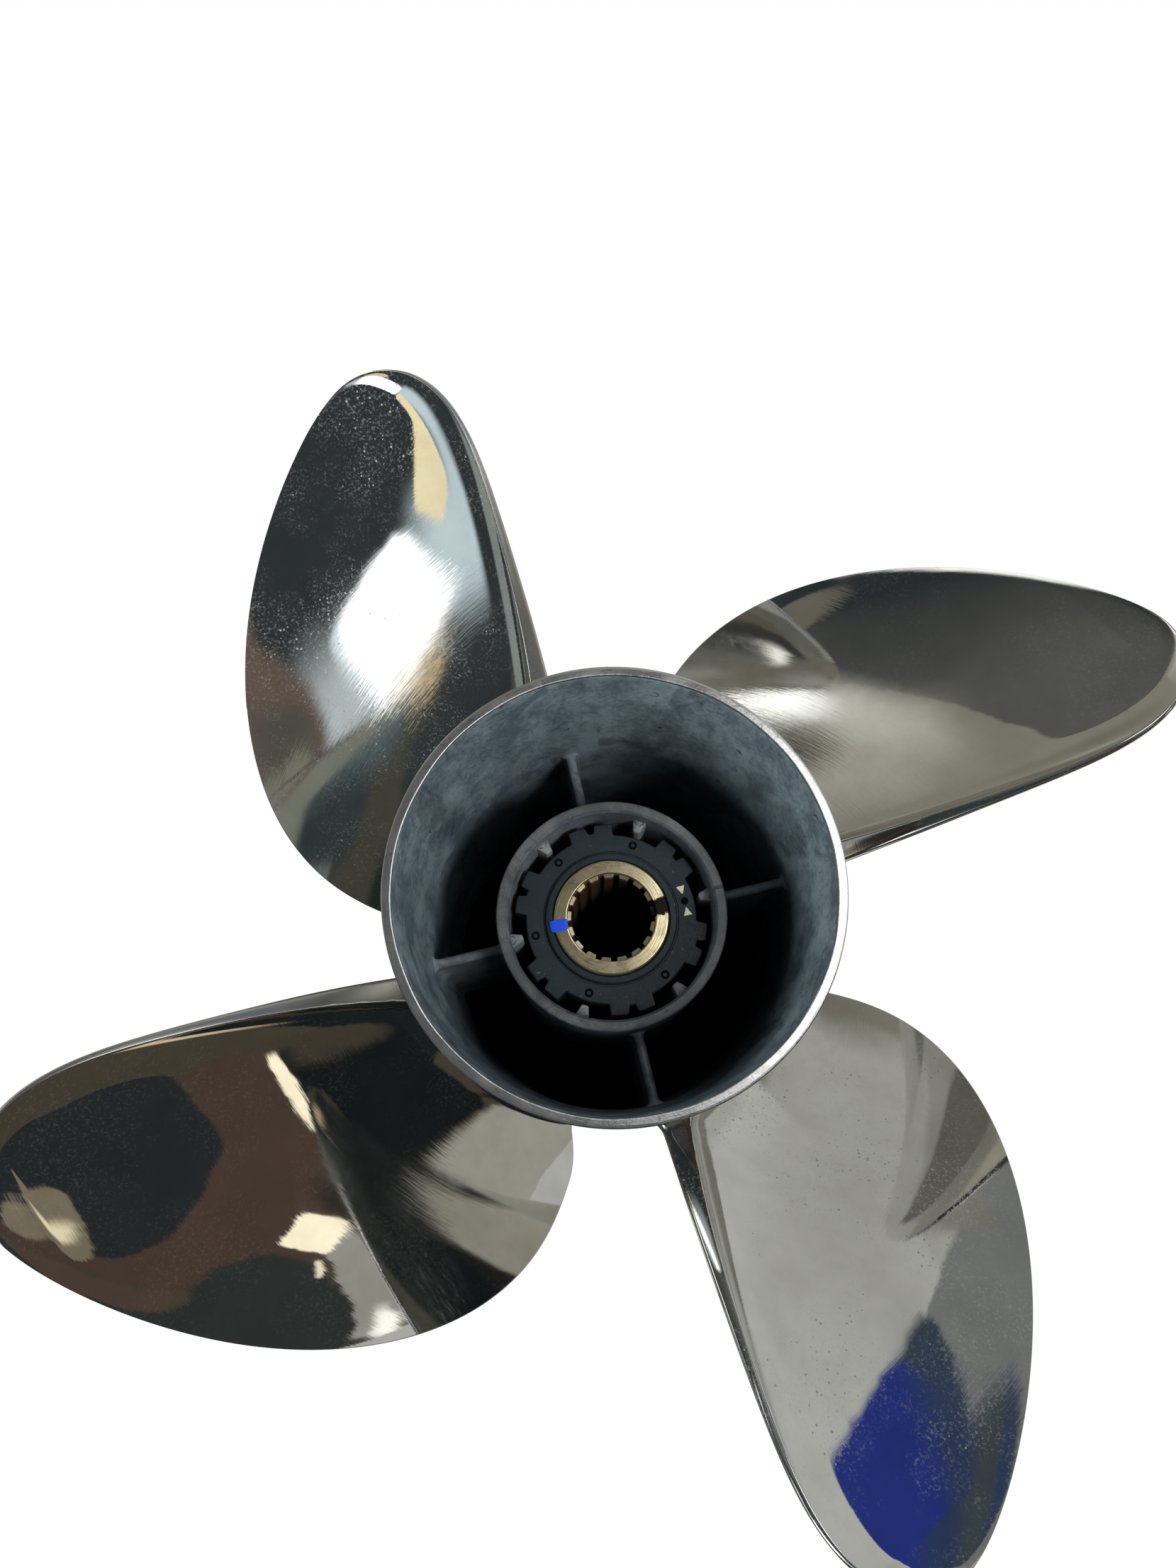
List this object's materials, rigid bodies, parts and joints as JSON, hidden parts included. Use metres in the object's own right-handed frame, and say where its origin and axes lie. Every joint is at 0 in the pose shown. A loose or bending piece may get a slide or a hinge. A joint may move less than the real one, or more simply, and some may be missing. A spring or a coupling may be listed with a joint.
{
  "type": "outboard propeller",
  "caption": "Left-hand stainless boat propeller with a through-hub exhaust barrel, ribs, and a sprung splined drive hub.",
  "frame": {"origin": "centre of the barrel's forward face, on which the propeller stands", "axes": "+Z aft along the shaft axis, towards the open exhaust bell; +X and +Y are right and up in the picture"},
  "size_m": [0.3432, 0.3432, 0.16],
  "materials": {
    "polished_stainless": "mirror-polished stainless steel with fine brushing streaks and light pitting",
    "cast_stainless": "grey as-cast stainless steel, mottled blue-grey, with machined bright edges",
    "black_composite": "matte black moulded composite",
    "bronze": "machined bronze, satin"
  },
  "bodies": {
    "casting": {"exhaust_barrel": "cast_stainless", "inner_hub_tube": "cast_stainless", "blade_upper_left": "polished_stainless", "blade_lower_left": "polished_stainless", "blade_lower_right": "polished_stainless", "blade_upper_right": "polished_stainless", "exhaust_rib_1": "cast_stainless", "exhaust_rib_2": "cast_stainless", "exhaust_rib_3": "cast_stainless", "exhaust_rib_4": "cast_stainless", "drive_lug_1": "cast_stainless", "drive_lug_2": "cast_stainless", "drive_lug_3": "cast_stainless", "drive_lug_4": "cast_stainless", "drive_lug_5": "cast_stainless", "drive_lug_6": "cast_stainless"},
    "drive_hub": {"hub_insert": "black_composite", "spline_bush": "bronze"}
  },
  "joints": [
    {"name": "hub_twist", "type": "hinge", "parent": "casting", "child": "drive_hub", "pos_m": [0, 0, 0.058], "axis": [0, 0, 1], "range_deg": [-10, 10], "stiffness_Nm_per_rad": 8}
  ]
}
